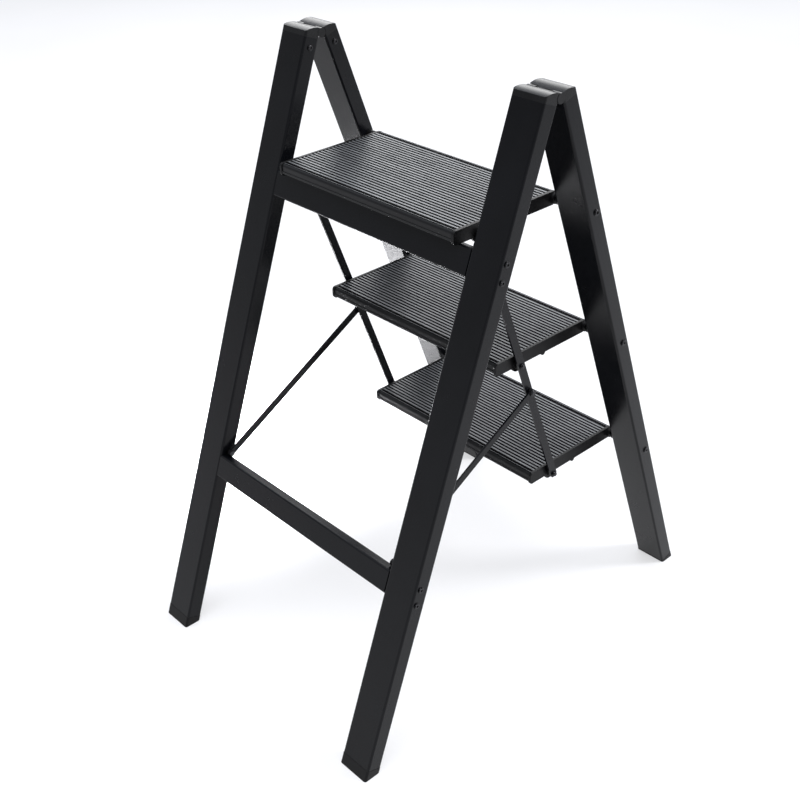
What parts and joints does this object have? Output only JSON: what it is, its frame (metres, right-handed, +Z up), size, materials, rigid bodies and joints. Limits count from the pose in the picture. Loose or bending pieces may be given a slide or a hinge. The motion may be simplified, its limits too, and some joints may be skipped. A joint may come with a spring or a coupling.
{
  "type": "folding step stool",
  "caption": "Free-standing folding step stool with ribbed treads, flat-tube legs, crossbars, tie bars and braces that fold flat together.",
  "frame": {"origin": "centre of the footprint at floor level with the stool fully open", "axes": "+Z up, +X to the right of a person about to climb, -Y the climbing side where the front legs stand"},
  "size_m": [0.4704, 0.6742, 0.8506],
  "materials": {
    "tube_coat": "satin black coating",
    "tread_coat": "satin dark grey coating",
    "black_plastic": "fine matte grain",
    "dark_steel": "dark zinc plated, slightly glossy"
  },
  "bodies": {
    "front_frame": {"front_leg_left": "tube_coat", "front_leg_right": "tube_coat", "front_hinge_cap_left": "black_plastic", "front_hinge_cap_right": "black_plastic", "hinge_pins": "dark_steel", "front_cap_screws": "dark_steel", "front_foot_left": "black_plastic", "front_foot_right": "black_plastic", "tread_pivot_bolts": "dark_steel", "tread_spacers": "black_plastic"},
    "rear_frame": {"rear_leg_left": "tube_coat", "rear_leg_right": "tube_coat", "rear_hinge_cap_left": "black_plastic", "rear_hinge_cap_right": "black_plastic", "rear_cap_screws": "dark_steel", "rear_foot_left": "black_plastic", "rear_foot_right": "black_plastic", "upper_crossbar": "tube_coat", "lower_crossbar": "tube_coat", "crossbar_screws": "dark_steel", "brace_rivets": "dark_steel"},
    "top_tread": {"tread_top": "tread_coat", "tread_cap_top_left": "black_plastic", "tread_cap_top_right": "black_plastic"},
    "middle_tread": {"tread_middle": "tread_coat", "tread_cap_middle_left": "black_plastic", "tread_cap_middle_right": "black_plastic"},
    "lower_tread": {"tread_lower": "tread_coat", "tread_cap_lower_left": "black_plastic", "tread_cap_lower_right": "black_plastic"},
    "left_tie_bar": {"tie_bar_left": "tube_coat", "tie_pins_left": "dark_steel"},
    "left_brace": {"brace_left": "tube_coat", "brace_bolt_left": "dark_steel"},
    "right_tie_bar": {"tie_bar_right": "tube_coat", "tie_pins_right": "dark_steel"},
    "right_brace": {"brace_right": "tube_coat", "brace_bolt_right": "dark_steel"}
  },
  "joints": [
    {"name": "main_hinge", "type": "hinge", "parent": "front_frame", "child": "rear_frame", "pos_m": [0, 0.00337, 0.8418], "axis": [-1, 0, 0], "range_deg": [0, 40.2]},
    {"name": "top_tread_pivot", "type": "hinge", "parent": "front_frame", "child": "top_tread", "pos_m": [0, -0.07365, 0.68317], "axis": [1, 0, 0], "range_deg": [0, 67]},
    {"name": "middle_tread_pivot", "type": "hinge", "parent": "front_frame", "child": "middle_tread", "pos_m": [0, -0.15185, 0.47177], "axis": [1, 0, 0], "range_deg": [0, 67]},
    {"name": "lower_tread_pivot", "type": "hinge", "parent": "front_frame", "child": "lower_tread", "pos_m": [0, -0.23005, 0.26037], "axis": [1, 0, 0], "range_deg": [0, 67]},
    {"name": "left_tie_bar_pivot", "type": "hinge", "parent": "middle_tread", "child": "left_tie_bar", "pos_m": [-0.1707, -0.01645, 0.46547], "axis": [-1, 0, 0], "range_deg": [0, 67]},
    {"name": "right_tie_bar_pivot", "type": "hinge", "parent": "middle_tread", "child": "right_tie_bar", "pos_m": [0.1707, -0.01645, 0.46547], "axis": [-1, 0, 0], "range_deg": [0, 67]},
    {"name": "left_brace_pivot", "type": "hinge", "parent": "rear_frame", "child": "left_brace", "pos_m": [-0.1764, 0.22328, 0.27426], "axis": [-1, 0, 0], "range_deg": [0, 37.04]},
    {"name": "right_brace_pivot", "type": "hinge", "parent": "rear_frame", "child": "right_brace", "pos_m": [0.1764, 0.22328, 0.27426], "axis": [-1, 0, 0], "range_deg": [0, 37.04]}
  ],
  "couplings": [
    {"joint": "top_tread_pivot", "follows": "main_hinge", "ratio": 1.6667},
    {"joint": "middle_tread_pivot", "follows": "main_hinge", "ratio": 1.6667},
    {"joint": "lower_tread_pivot", "follows": "main_hinge", "ratio": 1.6667},
    {"joint": "left_tie_bar_pivot", "follows": "main_hinge", "ratio": 1.6667},
    {"joint": "right_tie_bar_pivot", "follows": "main_hinge", "ratio": 1.6667},
    {"joint": "left_brace_pivot", "follows": "main_hinge", "ratio": 0.92116},
    {"joint": "right_brace_pivot", "follows": "main_hinge", "ratio": 0.92116}
  ]
}
